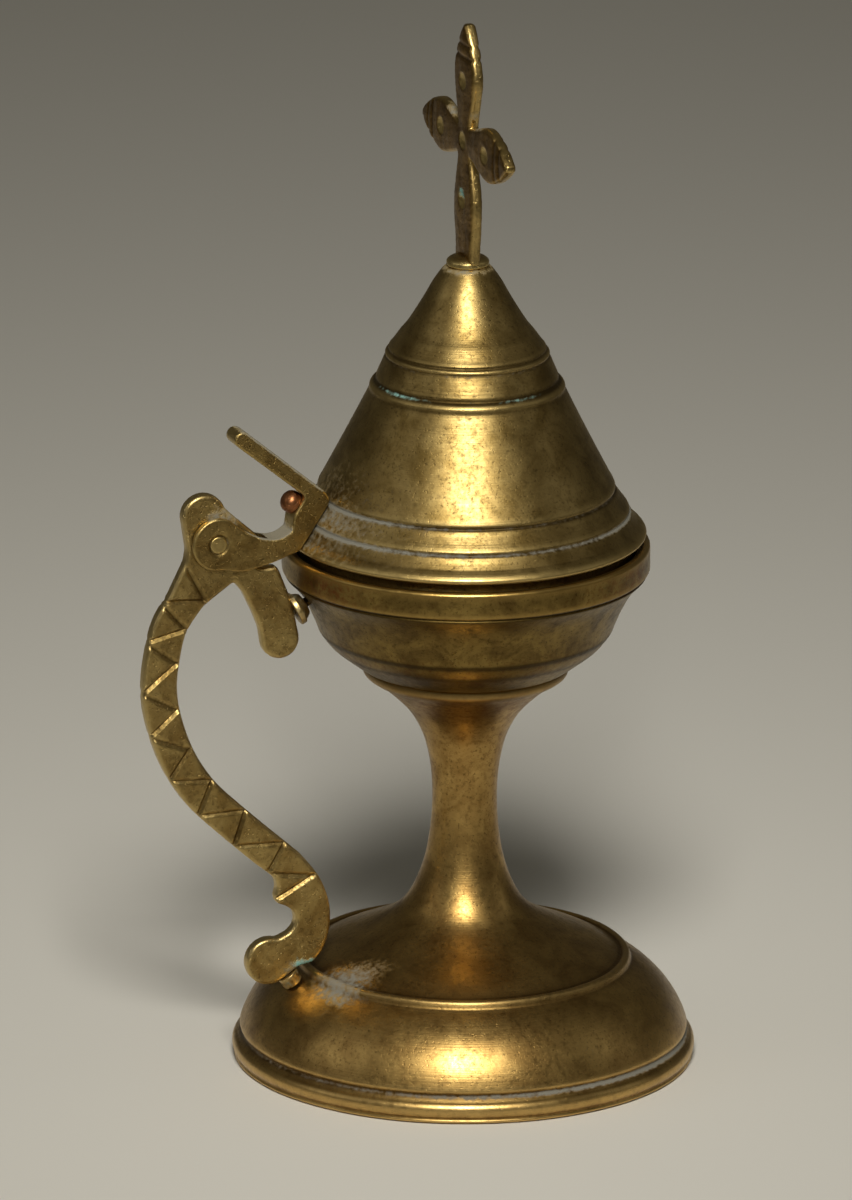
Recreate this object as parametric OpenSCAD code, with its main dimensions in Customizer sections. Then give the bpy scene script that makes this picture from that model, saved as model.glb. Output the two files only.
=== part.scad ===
// Hand incense burner in brass: a bell-shaped foot with a turned stem, a small
// charcoal bowl, a flat cast handle bridging foot and rim, and a hinged
// conical lid with a thumb lever and a cross on top.
// Millimetres. +Z is up, the foot rests on z = 0 and the foot's axis is the
// Z axis. The handle stands in the XZ plane on the -X side and the lid's hinge
// pin lies along Y. The lid is drawn closed.

/* [Overall] */
// Foot diameter over the bottom band
foot_d = 90; // [75:1:108]
// Height from the table to the seat under the bowl
foot_h = 79.6; // [66:0.2:96]
// Bowl diameter over the rim
rim_d = 71.2; // [60:0.2:86]
// Bowl height from its seat to the rim
bowl_h = 24.4; // [20:0.2:29.6]
// Lid height from brim to top
lid_h = 53.9; // [44:0.1:65]
// Cross height above the lid, collar included
cross_h = 47.9; // [38:0.1:58]

/* [Walls] */
// Wall of the bell foot
foot_wall = 2.2; // [1.6:0.1:3]
// Wall of the bowl
bowl_wall = 2.2; // [1.6:0.1:3]
// Wall of the lid
lid_wall = 1.5; // [1.2:0.1:2.2]

/* [Handle] */
// Handle plate thickness
handle_t = 2.9; // [2.4:0.1:3.5]
// Handle plate width along the grip
handle_w = 7; // [5.8:0.1:8.4]
// How far the pin stands out past the rim
hinge_reach = 16; // [14:0.1:18]
// Height of the pin above the rim
hinge_rise = 4.9; // [4.2:0.1:6]
// Width of the engraved zigzag
groove_w = 0.8; // [0.5:0.1:1.2]
// Depth of the engraved zigzag
groove_d = 0.4; // [0.2:0.05:0.6]
// Number of zigzag points along the grip
zigzags = 8; // [5:1:10]

/* [Hinge and leaf] */
// Pin diameter
pin_d = 3.4; // [2.8:0.1:4.1]
// Thickness of each cheek
cheek_t = 1; // [0.8:0.1:1.3]
// Outer radius of the leaf's eye
eye_r = 5.2; // [4.6:0.1:6.3]
// Thickness of the pad on the lid
pad_th = 5; // [4.2:0.1:6]
// Thickness of the thumb lever
lever_t = 3.2; // [2.6:0.1:3.9]
// Length of the thumb lever
lever_len = 21.3; // [17.5:0.1:25.7]

/* [Cross] */
// Thickness of the cross
cross_t = 2.9; // [2.4:0.1:3.5]
// Reach of each arm from the middle
arm_reach = 23; // [19:0.1:27]
// Widest part of an arm
arm_w = 10.4; // [8:0.1:12.4]
// Narrow part of an arm, at the middle
waist_w = 6.2; // [5:0.1:7.4]

/* [Fixings] */
// Shank diameter of the two handle studs
stud_d = 1.8; // [1.4:0.1:2.1]
// Shank diameter of the leaf rivet
rivet_d = 2.4; // [2:0.1:2.9]
// Diameter of the screw that holds the bowl down
screw_d = 4; // [3.2:0.1:4.8]

/* [Clearances] */
// Gap under the lid's brim when it is shut
lid_gap = 1.3; // [0.8:0.1:2]
// Gap round the lid's spigot inside the rim
spigot_gap = 0.7; // [0.5:0.1:1]
// Side gap between handle and cheek
side_gap = 0.25; // [0.2:0.05:0.4]
// Radial gap between the pin and the handle
pin_fit = 0.08; // [0.04:0.01:0.1]
// Radial gap round fixed shanks
shank_fit = 0.03; // [0.01:0.01:0.08]

/* [Hidden] */
$fn = 96;

brass = [0.71, 0.56, 0.29];
dark_brass = [0.55, 0.42, 0.2];
copper = [0.72, 0.4, 0.25];

foot_r = foot_d / 2;
rim_r = rim_d / 2;
seat_z = foot_h;
rim_z = seat_z + bowl_h;
lid_z = rim_z + lid_gap;
top_z = lid_z + lid_h;
kf = foot_r / 45;
kb = rim_r / 35.6;
eps = 0.01;

// Smooth curve through a row of points, n steps to each gap.
function cr(a, b, c, d, t) = 0.5 * (2 * b + (c - a) * t
    + (2 * a - 5 * b + 4 * c - d) * t * t
    + (3 * b - a - 3 * c + d) * t * t * t);
function curve(p, n = 4) = [for (i = [0 : len(p) - 2]) for (j = [0 : n - 1])
    cr(p[max(i - 1, 0)], p[i], p[i + 1], p[min(i + 2, len(p) - 1)], j / n),
    p[len(p) - 1]];
// Arc about c from angle a to angle b.
function arc(c, r, a, b, n = 12) =
    [for (i = [0 : n]) c + r * [cos(a + (b - a) * i / n), sin(a + (b - a) * i / n)]];
function unit(v) = v / norm(v);
function clamp01(t) = min(1, max(0, t));

// ---- foot -------------------------------------------------------------
// Bell: a round shoulder of 22.3 mm radius, widened with the foot.
function bell(a, off = 0) = [kf * 22.3 + (kf * 22.3 - off) * cos(a),
                             -0.4 + (22.3 - off) * sin(a)];
// Stem heights stretch between the bell and the seat.
function sz(z) = 27 + (z - 27) * (foot_h - 27) / 52.6;

module foot() {
    stem = curve([[26.6 * kf, 22.6], [19.8, 25.6], [14.4, 28.6], [11.3, sz(31.6)],
        [9, sz(36)], [7.5, sz(40.8)], [6.6, sz(46.6)], [6.3, sz(52)], [6.5, sz(57)],
        [7.2, sz(61.6)], [8.5, sz(66)], [11.1, sz(70.5)], [15.6, sz(74.9)],
        [18.8, sz(77)]]);
    outside = concat(
        [[kf * 43.8, 0], [kf * 44.7, 0.5]],
        arc([kf * 45 - 1.9, 2.6], 1.9, -50, 60, 8),
        [[kf * 43.5, 5.1], [kf * 43.3, 5.6]],
        [for (a = [17 : 4.2 : 59]) bell(a)],
        [[kf * 32.7, 19.4]], arc([kf * 31.5, 20], 0.95, 20, 150, 6),
        [[kf * 30.2, 20.7]],
        stem,
        [[19.6, sz(77.6)], [19.9, sz(78.2)], [19.9, sz(79.1)], [19.5, seat_z], [0, seat_z]]);
    w = foot_wall;
    inside = concat(
        [[0, 31], [5, 30.6], [9.5, 28.2], [14, 25.4], [19.5, 22.9]],
        [[kf * 30, 20.7 - w * 1.1]],
        [for (a = [59 : -6 : 17]) bell(a, w)],
        [[kf * 43.3 - w, 4.4], [kf * 43.8 - w, 0]]);
    color(brass) difference() {
        rotate_extrude() polygon(concat(outside, inside));
        translate([0, 0, seat_z - screw_len]) cylinder(d = screw_d + 2 * shank_fit, h = 30);
        along(low_p, low_n) cylinder(d = stud_d + 2 * shank_fit, h = 14, center = true);
    }
}

// ---- bowl -------------------------------------------------------------
function bz(z) = seat_z + (z - 79.6) * bowl_h / 24.4;
function bp(p) = [p[0] * kb, bz(p[1])];

module bowl() {
    w = bowl_wall;
    belly = curve([for (p = [[20.6, 79.6], [22.8, 81.2], [26.2, 83.9], [28.2, 86.4]]) bp(p)]);
    side = curve([for (p = [[28.5, 86.9], [29.3, 89], [30.5, 91.7], [31.9, 94.3],
        [33.3, 96.2], [35.1, 98]]) bp(p)]);
    // Inside, the belly is the outside set in by the wall.
    inner = curve([for (p = [[28.5, 86.9], [30.4, 91.7], [31.8, 94.3]])
        bp(p) + [-w, 0]]);
    floor_z = bz(79.6) + w + 0.3;
    lip = rim_r - 1.5;
    bore = rim_r - 2.5;
    color(brass) difference() {
        rotate_extrude() polygon(concat(
            [[0, seat_z]], belly, side,
            [[rim_r - 0.75, bz(98.35)], [rim_r - 0.05, bz(98.8)], [rim_r, bz(99.6)]],
            arc([rim_r - 0.8, rim_z - 0.8], 0.8, 0, 90, 6),
            [[lip, rim_z], [lip - 0.1, rim_z - 0.8], [bore, rim_z - 0.8],
             [bore, bz(98)]],
            [for (i = [len(inner) - 1 : -1 : 0]) inner[i]],
            [[kb * 26.2 - w, bz(85.6)], [kb * 22.8 - w, floor_z + 0.5],
             [kb * 20.6 - w, floor_z], [0, floor_z]]));
        translate([0, 0, seat_z - 1]) cylinder(d = screw_d + 2 * shank_fit, h = 10);
        along(up_p, up_n) cylinder(d = stud_d + 2 * shank_fit, h = 12, center = true);
    }
}
bowl_floor = seat_z + bowl_wall + 0.3;
screw_len = 13;

module bowl_screw() {
    z0 = bowl_floor + 0.85;
    color(dark_brass) difference() {
        union() {
            translate([0, 0, seat_z - screw_len + 0.5])
                cylinder(d = screw_d, h = z0 - seat_z + screw_len);
            rotate_extrude() polygon(concat([[0, z0], [3.4, z0]],
                [for (a = [12 : 13 : 90]) [3.5 * cos(a), z0 + 2 * sin(a)]],
                [[0, z0 + 2]]));
        }
        translate([-4, -0.4, z0 + 1.1]) cube([8, 0.8, 2]);
    }
}

module bowl_washer() {
    color(brass) translate([0, 0, bowl_floor + 0.03]) difference() {
        cylinder(r = 5.4, h = 0.8);
        translate([0, 0, -1]) cylinder(d = screw_d + 2 * shank_fit, h = 3);
    }
}

// ---- places the handle is tied to ---------------------------------------
// Hinge pin, the stud on the bowl's side and the stud on the bell.
pin_p = [-(rim_r + hinge_reach), rim_z + hinge_rise];
up_p = [-kb * 32.5, bz(95.1)];
up_n = unit([-1.5 * bowl_h / 24.4, -0.8 * kb]);
low_a = 55;
low_p = [-bell(low_a)[0], bell(low_a)[1]];
low_n = unit([-cos(low_a) / kf, sin(low_a)]);

// Puts a shape made along +Z at point p of the XZ plane, turned to face n.
module along(p, n) {
    translate([p[0], 0, p[1]]) rotate([0, atan2(n[0], n[1]), 0]) children();
}
// Stands a flat outline up in the XZ plane, t thick, centred on y = 0.
module upright(t) { rotate([90, 0, 0]) linear_extrude(t, center = true) children(); }

// Handle points move with the stud on the bell below and with the pin above.
function hm(p) = let (v = clamp01((p[1] - 44) / 50))
    p + (1 - v) * (low_p - [-35.09, 17.87]) + v * (pin_p - [-51.6, 108.9]);
// Lug points move with the stud on the bowl below and with the pin above.
function lm(p) = let (v = clamp01((p[1] - 93) / 8))
    p + (1 - v) * (up_p - [-32.5, 95.1]) + v * (pin_p - [-51.6, 108.9]);
// Middle line of the grip, used for the edges and the zigzag alike.
grip = [[-56.3, 99.4], [-60.6, 93.4], [-62.4, 86.6], [-62.95, 80], [-61.8, 73.3],
    [-58.9, 65.6], [-54.4, 58.7], [-47.9, 52.2], [-41, 45.9]];
gc = curve([for (p = grip) hm(p)]);
function gn(i) = let (a = gc[max(i - 1, 0)], b = gc[min(i + 1, len(gc) - 1)],
    d = unit(b - a)) [d[1], -d[0]];
function edge(i, s) = gc[i] + s * handle_w / 2 * gn(i);

// Round nose over the pin, which stops the open leaf.
lobe_c = pin_p + [-2.4, 5.5];
lobe_r = 4.4;
foot_lobe = low_p + [-5.4, 5.35];
outer_edge = [for (i = [2 : len(gc) - 1]) edge(i, 1)];
inner_edge = [for (i = [len(gc) - 1 : -1 : 1]) edge(i, -1)];
lug_tip = up_p + [-5.9, -6.9];
stud_gap = 2.8;
// Collar of the stud on the bowl, and how far its top stands out.
collar_r = 3.3;
collar_top = 3.4;
// Root of the leaf's slot, struck from the pin; the handle stays inside it.
slot_r = 10.3;

module handle_outline() {
    flat_c = low_p + stud_gap * low_n;
    flat_t = [low_n[1], -low_n[0]];
    polygon(concat(
        [pin_p + [-5.8, -1], pin_p + [-6.2, -3.3]],
        outer_edge,
        [for (p = [[-41.6, 41.9], [-39.4, 40], [-38.9, 38.2], [-39.5, 36], [-39, 34.9],
            [-37.2, 34.2], [-35.6, 33], [-35.1, 31.6], [-35.3, 30.1], [-36.5, 28.7],
            [-38, 28]]) hm(p)],
        arc(foot_lobe, 4.7, 72, 286, 18),
        [flat_c - 2.1 * flat_t, flat_c + 2.6 * flat_t],
        curve([for (p = [[-31.6, 22.2], [-29.6, 24.4], [-28.3, 28], [-28, 32.2],
            [-28.9, 36.3], [-30.8, 40.2], [-34.3, 44.6]]) hm(p)], 3),
        inner_edge,
        [for (p = [[-48, 100.8], [-46.1, 98.6], [-43.9, 94], [-42.6, 90.7]]) lm(p)],
        arc(lug_tip, 3.8, 188, 366, 14),
        [for (p = [[-35.3, 92], [-36.3, 96.2], [-37.9, 100.2], [-38.7, 102.2]]) lm(p)],
        [pin_p + [12.3, -5.8], pin_p + [9.3, -6]],
        arc(pin_p, slot_r - 0.9, -34, -6, 4),
        [pin_p + [8, 1.2], pin_p + [6.3, 2.7], pin_p + [3.6, 5.1]],
        arc(lobe_c, lobe_r, 18, 196, 18)));
}

// Zigzag ribbon with mitred corners, sunk into both faces.
module zigzag_ribbon(p, w) {
    n = len(p) - 1;
    side = [for (i = [0 : n]) let (
        d1 = unit(p[max(i, 1)] - p[max(i, 1) - 1]),
        d2 = unit(p[min(i + 1, n)] - p[min(i + 1, n) - 1]),
        m = unit([-d1[1] - d2[1], d1[0] + d2[0]]))
        m * w / 2 / max(0.3, m * [-d1[1], d1[0]])];
    polygon(concat([for (i = [0 : n]) p[i] + side[i]],
                   [for (i = [n : -1 : 0]) p[i] - side[i]]));
}

module handle() {
    last = len(gc) - 1;
    n = 2 * zigzags;
    zig = [for (i = [0 : n]) let (k = round(2 + (last - 2) * i / n))
        gc[k] + (i % 2 == 0 ? 1 : -1) * (handle_w / 2 - 0.5) * gn(k)];
    color(brass) difference() {
        upright(handle_t) handle_outline();
        for (s = [-1, 1]) translate([0, s * handle_t / 2, 0])
            upright(groove_d * 2) zigzag_ribbon(zig, groove_w);
        along(pin_p, [0, 1]) rotate([90, 0, 0])
            cylinder(d = pin_d + 2 * pin_fit, h = 20, center = true);
        along(low_p, low_n) cylinder(d = stud_d + 2 * shank_fit, h = stud_gap + 4.5);
        along(up_p, up_n) cylinder(d = stud_d + 2 * shank_fit, h = 3.8 + 4.3);
        // Spot face that lets the lug sit flat on the stud's collar.
        along(up_p, up_n) translate([0, 0, -1])
            cylinder(r = collar_r + 0.1, h = 1 + collar_top + 0.05);
    }
}

// ---- studs and their washers ------------------------------------------
// A washer face and shank: up the handle's side, down through the wall.
module upper_stud() {
    color(dark_brass) along(up_p, up_n) {
        translate([0, 0, -bowl_wall - 1.5]) cylinder(d = stud_d, h = bowl_wall + 9.3);
        translate([0, 0, 0.9]) cylinder(r1 = 2.2, r2 = 2.9, h = 1.2);
        translate([0, 0, 2.1]) cylinder(r = collar_r, h = collar_top - 2.1);
        translate([0, 0, -bowl_wall - 1.9]) cylinder(r1 = 1.3, r2 = 1.9, h = 0.85);
    }
}

module upper_stud_washer() {
    color(brass) along(up_p, up_n) translate([0, 0, -bowl_wall - 0.95]) difference() {
        cylinder(r = 2.8, h = 0.8);
        translate([0, 0, -1]) cylinder(d = stud_d + 2 * shank_fit, h = 3);
    }
}

module lower_stud() {
    color(dark_brass) along(low_p, low_n) {
        translate([0, 0, -foot_wall - 1.8]) cylinder(d = stud_d, h = foot_wall + 8.3);
        translate([0, 0, 0.35]) cylinder(r = 2.1, h = stud_gap - 0.45);
        translate([0, 0, -foot_wall - 2.2]) cylinder(r1 = 1.3, r2 = 1.9, h = 0.9);
    }
}

module lower_stud_washer() {
    color(brass) along(low_p, low_n) translate([0, 0, -foot_wall - 1.2]) difference() {
        cylinder(r = 3.4, h = 0.8);
        translate([0, 0, -1]) cylinder(d = stud_d + 2 * shank_fit, h = 3);
    }
}

// ---- lid --------------------------------------------------------------
function lz(z) = lid_z + (z - 105.3) * lid_h / 53.9;
function lp(p) = [p[0] * kb, lz(p[1])];
spigot_r = rim_r - 2.5 - spigot_gap;

module lid() {
    w = lid_wall;
    outside = [for (p = [[34.1, 105.3], [34.7, 105.7], [34.8, 106.2], [34.2, 107],
        [33.1, 107.9], [32.3, 109], [31.8, 110], [31.35, 110.3], [31.5, 110.8],
        [31.1, 111.4], [30.3, 112.4], [29.5, 113.5], [29, 114.4], [28.6, 114.7],
        [28.8, 115.2], [28.6, 115.8], [28.1, 116.7], [18.9, 134.8], [18.9, 135.6],
        [18.5, 136.2], [17.7, 136.8], [17.6, 137.4], [16, 141.2], [15.8, 141.5],
        [16, 141.9], [15.7, 142.4], [15.3, 142.6], [15.3, 143.1], [14.6, 143.9],
        [11.5, 148], [8.7, 152.5], [6.6, 156.2], [4.9, 158.6], [4.3, 159.2]]) lp(p)];
    // The inside follows a simpler line, one wall in.
    inside = [for (p = [[4.9, 158.6], [8.7, 152.5], [11.5, 148], [14.8, 143.4],
        [17.6, 137.2], [28, 116.5], [28.9, 114.4], [31.2, 110.6], [32.3, 108.2]])
        lp(p) + [-w * 1.1, -w * 0.35]];
    hub_z = inside[0][1] - 0.6;
    color(brass) difference() {
        rotate_extrude() polygon(concat(
            [[spigot_r, lid_z]], outside, [[0, top_z], [0, hub_z],
             [inside[0][0], hub_z]],
            [for (i = [1 : len(inside) - 1]) inside[i]],
            [[spigot_r - 1.2, lid_z + 1.4], [spigot_r - 1.2, lid_z - 3.6],
             [spigot_r, lid_z - 3.6]]));
        translate([0, 0, top_z - 8]) cylinder(d = 3 + 2 * shank_fit, h = 12);
        along(riv_p, riv_n) cylinder(d = rivet_d + 2 * shank_fit, h = 16, center = true);
    }
}

// ---- cross ------------------------------------------------------------
cross_c = top_z + cross_h - arm_reach;

// One leaf-shaped arm, waist at the middle and point at the reach.
function arm_half(r) = curve([[0.2, waist_w / 2 * 0.95], [4, waist_w / 2 * 1.02],
    [r * 0.36, arm_w / 2 * 0.84], [r * 0.58, arm_w / 2], [r * 0.78, arm_w / 2 * 0.72],
    [r * 0.93, arm_w / 2 * 0.3], [r, 0.45]], 3);
module arm(r) {
    h = arm_half(r);
    polygon(concat(h, [for (i = [len(h) - 1 : -1 : 0]) [h[i][0], -h[i][1]]]));
}

module cross() {
    foot_len = cross_h - arm_reach - 1.2;
    color(brass) {
        difference() {
            translate([0, 0, cross_c]) rotate([90, 0, 90])
                linear_extrude(cross_t, center = true) {
                for (a = [0, 90, 180]) rotate(a) arm(arm_reach);
                // The lower arm ends in a straight foot on the collar.
                polygon(concat([for (p = curve([[waist_w / 2, -3], [arm_w * 0.42, -8.3],
                    [arm_w / 2, -13.2], [arm_w * 0.44, -18], [arm_w * 0.41, -foot_len]], 3)) p],
                    [for (p = curve([[-arm_w * 0.41, -foot_len], [-arm_w * 0.44, -18],
                    [-arm_w / 2, -13.2], [-arm_w * 0.42, -8.3], [-waist_w / 2, -3]], 3)) p]));
            }
            for (a = [0 : 90 : 270]) translate([0, 0, cross_c]) rotate([a, 0, 0])
                for (s = [-1, 1]) translate([s * (cross_t / 2 + 2.4), 0, 11.8]) sphere(r = 2.95);
        }
        translate([0, 0, top_z + 0.02]) cylinder(r = 4.1, h = 1.3);
        translate([0, 0, top_z + 1.3]) cylinder(r1 = 4.1, r2 = 3.2, h = 0.5);
        translate([0, 0, top_z - 6.6]) cylinder(d = 3, h = 7);
    }
}

module cross_washer() {
    z1 = lz(158.6) - lid_wall * 0.35 - 0.6;
    color(dark_brass) translate([0, 0, z1 - 0.95]) difference() {
        cylinder(r = 2.7, h = 0.9);
        translate([0, 0, -1]) cylinder(d = 3 + 2 * shank_fit, h = 3);
    }
}

// ---- lid leaf, rivet and pin --------------------------------------------
// The pad lies on the lid between the brim and the upper step.
pad_a = [-kb * 34.8 - 0.06, lz(106.2)];
pad_b = [-kb * 28.8 - 0.06, lz(115.3)];
pad_t = unit(pad_b - pad_a);
pad_n = [-pad_t[1], pad_t[0]];
corner = pad_b + [-0.5, 1.7];
lever_n = unit([-0.77, 0.64]);
lever_a = atan2(lever_n[1], lever_n[0]);
lever_d = [-lever_n[1], lever_n[0]];
riv_n = pad_n;
riv_s = pad_b - 3.8 * pad_t + pad_th * pad_n;
riv_p = riv_s - pad_th * pad_n;

module lid_leaf() {
    tip = corner + lever_len * lever_n;
    slot = handle_t + 2 * side_gap;
    color(brass) difference() {
        upright(slot + 2 * cheek_t) polygon(concat(
            arc(pin_p, eye_r, 62, 278, 20),
            [for (p = [[4.6, -5.9], [8.1, -5.4], [12, -4.4], [14.6, -3.4]]) pin_p + p],
            [pad_a + [-0.5, -0.3], pad_a, pad_b, corner],
            arc(tip + lever_t / 2 * lever_d, lever_t / 2, lever_a - 90, lever_a + 90, 8),
            [riv_s + 2.3 * pad_t, riv_s - 2 * pad_t],
            [for (p = curve([[15, 1.4], [13.2, 0.3], [11, 0], [8.3, 0.7], [5.8, 2],
                [3.8, 3.4]], 3)) pin_p + p]));
        // Slot for the handle, its root struck from the pin.
        translate([pin_p[0], 0, pin_p[1]]) rotate([90, 0, 0]) {
            cylinder(r = slot_r, h = slot, center = true);
            cylinder(d = pin_d + 0.04, h = 30, center = true);
        }
        along(riv_p, riv_n) cylinder(d = rivet_d + 2 * shank_fit, h = 18, center = true);
    }
}

module leaf_rivet() {
    head_r = 2.2;
    color(copper) along(riv_p, riv_n) {
        translate([0, 0, -4]) cylinder(d = rivet_d, h = pad_th + 4.1);
        translate([0, 0, pad_th + 0.03]) rotate_extrude() polygon(concat(
            [[0, 0], [head_r - 0.1, 0], [head_r, 0.2]],
            [for (a = [0 : 9 : 90]) [head_r * cos(a), 1.2 + 1.8 * sin(a)]]));
        translate([0, 0, -4.5]) cylinder(r1 = 1.4, r2 = 1.9, h = 0.8);
    }
}

module rivet_washer() {
    color(brass) along(riv_p, riv_n) translate([0, 0, -3.6]) difference() {
        cylinder(r = 3, h = 0.7);
        translate([0, 0, -1]) cylinder(d = rivet_d + 2 * shank_fit, h = 3);
    }
}

module hinge_pin() {
    l = handle_t + 2 * side_gap + 2 * cheek_t + 0.1;
    color(brass) translate([pin_p[0], 0, pin_p[1]]) rotate([90, 0, 0])
        cylinder(d = pin_d, h = l, center = true);
}

foot();
bowl();
bowl_screw();
bowl_washer();
handle();
upper_stud();
upper_stud_washer();
lower_stud();
lower_stud_washer();
lid();
cross();
cross_washer();
lid_leaf();
leaf_rivet();
rivet_washer();
hinge_pin();
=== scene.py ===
# %% [markdown]
# # A hand incense burner in old brass
# The burner is a bell foot with a turned stem, a small charcoal bowl, a flat cast
# handle and a hinged conical lid with a cross. Turned pieces are spun outlines, flat
# castings are outlines with thickness, so two kinds of surface make nearly all of it.
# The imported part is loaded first. It is the frame: it says where every piece sits.

# %% Load the frame
import math

import bpy
import numpy as np
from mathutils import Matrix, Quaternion, Vector
from mathutils.geometry import delaunay_2d_cdt


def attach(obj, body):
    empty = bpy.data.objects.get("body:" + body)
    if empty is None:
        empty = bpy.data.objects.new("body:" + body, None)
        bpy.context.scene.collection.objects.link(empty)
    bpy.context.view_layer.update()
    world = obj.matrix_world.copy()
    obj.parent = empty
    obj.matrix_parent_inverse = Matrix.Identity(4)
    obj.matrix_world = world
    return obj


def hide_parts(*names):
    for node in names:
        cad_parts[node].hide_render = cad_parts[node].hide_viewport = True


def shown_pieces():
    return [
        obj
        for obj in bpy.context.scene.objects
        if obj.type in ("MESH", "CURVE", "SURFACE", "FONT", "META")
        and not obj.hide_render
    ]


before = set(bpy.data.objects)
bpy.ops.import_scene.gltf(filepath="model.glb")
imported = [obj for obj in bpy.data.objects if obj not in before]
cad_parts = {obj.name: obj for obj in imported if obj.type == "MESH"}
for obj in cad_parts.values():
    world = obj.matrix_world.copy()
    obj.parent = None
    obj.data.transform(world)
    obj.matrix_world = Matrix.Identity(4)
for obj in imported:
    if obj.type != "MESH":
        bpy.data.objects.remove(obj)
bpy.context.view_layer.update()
MM = 0.001

# %% [markdown]
# ## Camera
# A long lens from three metres away flattens the burner, so its ellipses stay slim.
# The camera stands 17 degrees above the table and 20.5 degrees round towards the
# handle. It is aimed a little to the left of the axis, which leaves the handle its room.

# %% Place the camera
VIEW_TURN, VIEW_RISE, VIEW_ROLL = math.radians(-20.5), math.radians(17), math.radians(0.3)
CAMERA_AWAY, LENS_MM = 3.0, 466.2
MIDDLE = Vector((0, 0, 0.1))
AIM_LEFT, AIM_LOWER = 0.00768, 0.00772
back = Vector((math.sin(VIEW_TURN) * math.cos(VIEW_RISE),
               -math.cos(VIEW_TURN) * math.cos(VIEW_RISE), math.sin(VIEW_RISE)))
side = Vector((math.cos(VIEW_TURN), math.sin(VIEW_TURN), 0))
rise = back.cross(side)
aim = MIDDLE - side * AIM_LEFT - rise * AIM_LOWER
camera_data = bpy.data.cameras.new("camera")
camera_data.lens = LENS_MM
camera_data.clip_start, camera_data.clip_end = 0.1, 50
camera = bpy.data.objects.new("camera", camera_data)
bpy.context.scene.collection.objects.link(camera)
camera.rotation_mode = "QUATERNION"
camera.location = aim + back * CAMERA_AWAY
camera.rotation_quaternion = (-back).to_track_quat("-Z", "Y") @ Quaternion((0, 0, 1), VIEW_ROLL)
bpy.context.scene.camera = camera
print("lens", round(camera_data.lens, 1), "mm")

# %% [markdown]
# ## Surfaces from arrays
# Every shape is worked out with numpy as whole arrays. `soften` rounds corners, `catmull` draws
# smooth lines through a few measured points, and `skin` puts the finished arrays into a mesh. Marks
# such as wear, dust and painted shade are stored as attributes on the points, so a material can
# read them wherever the camera stands.

# %% Lines
def catmull(points, steps):
    """Catmull-Rom line: between two points b and c, with neighbours a and d, it is half of
    2b + (c - a)t + (2a - 5b + 4c - d)t^2 + (3b - a - 3c + d)t^3, for t from 0 to 1."""
    p = np.asarray(points, float)
    q = np.vstack([p[:1], p, p[-1:]])
    a, b, c, d = q[:-3], q[1:-2], q[2:-1], q[3:]
    t = (np.arange(steps) / steps)[:, None, None]
    s = 0.5 * (2 * b + (c - a) * t + (2 * a - 5 * b + 4 * c - d) * t**2
               + (3 * b - a - 3 * c + d) * t**3)
    return np.vstack([s.transpose(1, 0, 2).reshape(-1, p.shape[1]), p[-1:]])


def arc(centre, radius, start, end, steps):
    """Points at centre + radius (cos a, sin a), for angles a from start to end in degrees."""
    a = np.radians(np.linspace(start, end, steps + 1))
    return np.asarray(centre) + radius * np.stack([np.cos(a), np.sin(a)], 1)


def soften(points, reach, steps=4):
    """Closed line with each corner swapped for a parabola that leaves the line reach before the
    corner, or half way to the next one, and joins it again as far behind."""
    p = np.asarray(points, float)
    before, after = np.roll(p, 1, 0) - p, np.roll(p, -1, 0) - p
    lb = np.maximum(np.linalg.norm(before, axis=1), 1e-9)
    la = np.maximum(np.linalg.norm(after, axis=1), 1e-9)
    s = p + before * np.minimum(reach / lb, 0.5)[:, None]
    e = p + after * np.minimum(reach / la, 0.5)[:, None]
    t = np.linspace(0, 1, steps)[:, None, None]
    c = ((1 - t) ** 2 * s + 2 * t * (1 - t) * p + t**2 * e).transpose(1, 0, 2).reshape(-1, 2)
    return c[np.linalg.norm(c - np.roll(c, 1, 0), axis=1) > 2e-3]


def fill_gaps(points, step, closed=True):
    """Adds evenly spaced points wherever two neighbours are further apart than step."""
    p = np.asarray(points, float)
    q = np.roll(p, -1, 0) if closed else p[1:]
    p0 = p if closed else p[:-1]
    n = np.maximum(1, np.ceil(np.linalg.norm(q - p0, axis=1) / step).astype(int))
    i = np.repeat(np.arange(len(p0)), n)
    f = (np.arange(len(i)) - np.repeat(np.cumsum(n) - n, n)) / n[i]
    out = p0[i] + (q - p0)[i] * f[:, None]
    return out if closed else np.vstack([out, p[-1:]])


def ripple(points, size, seed):
    """A gentle unevenness from -1 to 1: the mean of seven sine waves of about that size in mm,
    each in its own random direction."""
    rng = np.random.default_rng(seed)
    k = rng.normal(size=(points.shape[-1], 7)) * 2 * np.pi / size / 1.7
    return np.sin(points @ k + rng.uniform(0, 6.28, 7)).mean(-1) * 1.6


def blob(points, centre, size):
    """Bell curve of the distance from centre: 1 there and 0.6 at size mm."""
    d2 = ((points - np.asarray(centre, float)) ** 2 / np.asarray(size, float) ** 2).sum(-1)
    return np.exp(-d2 / 2)


def band(values, centre, width):
    """Bell curve across a band of that half width."""
    return np.exp(-(((values - centre) / width) ** 2) / 2)


def bands(values, *rows):
    """Several bands added up, each given as its strength, centre and half width."""
    return sum(strength * band(values, centre, width) for strength, centre, width in rows)


# %% Mesh from arrays
SHARP_ANGLE = math.radians(38)


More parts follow.
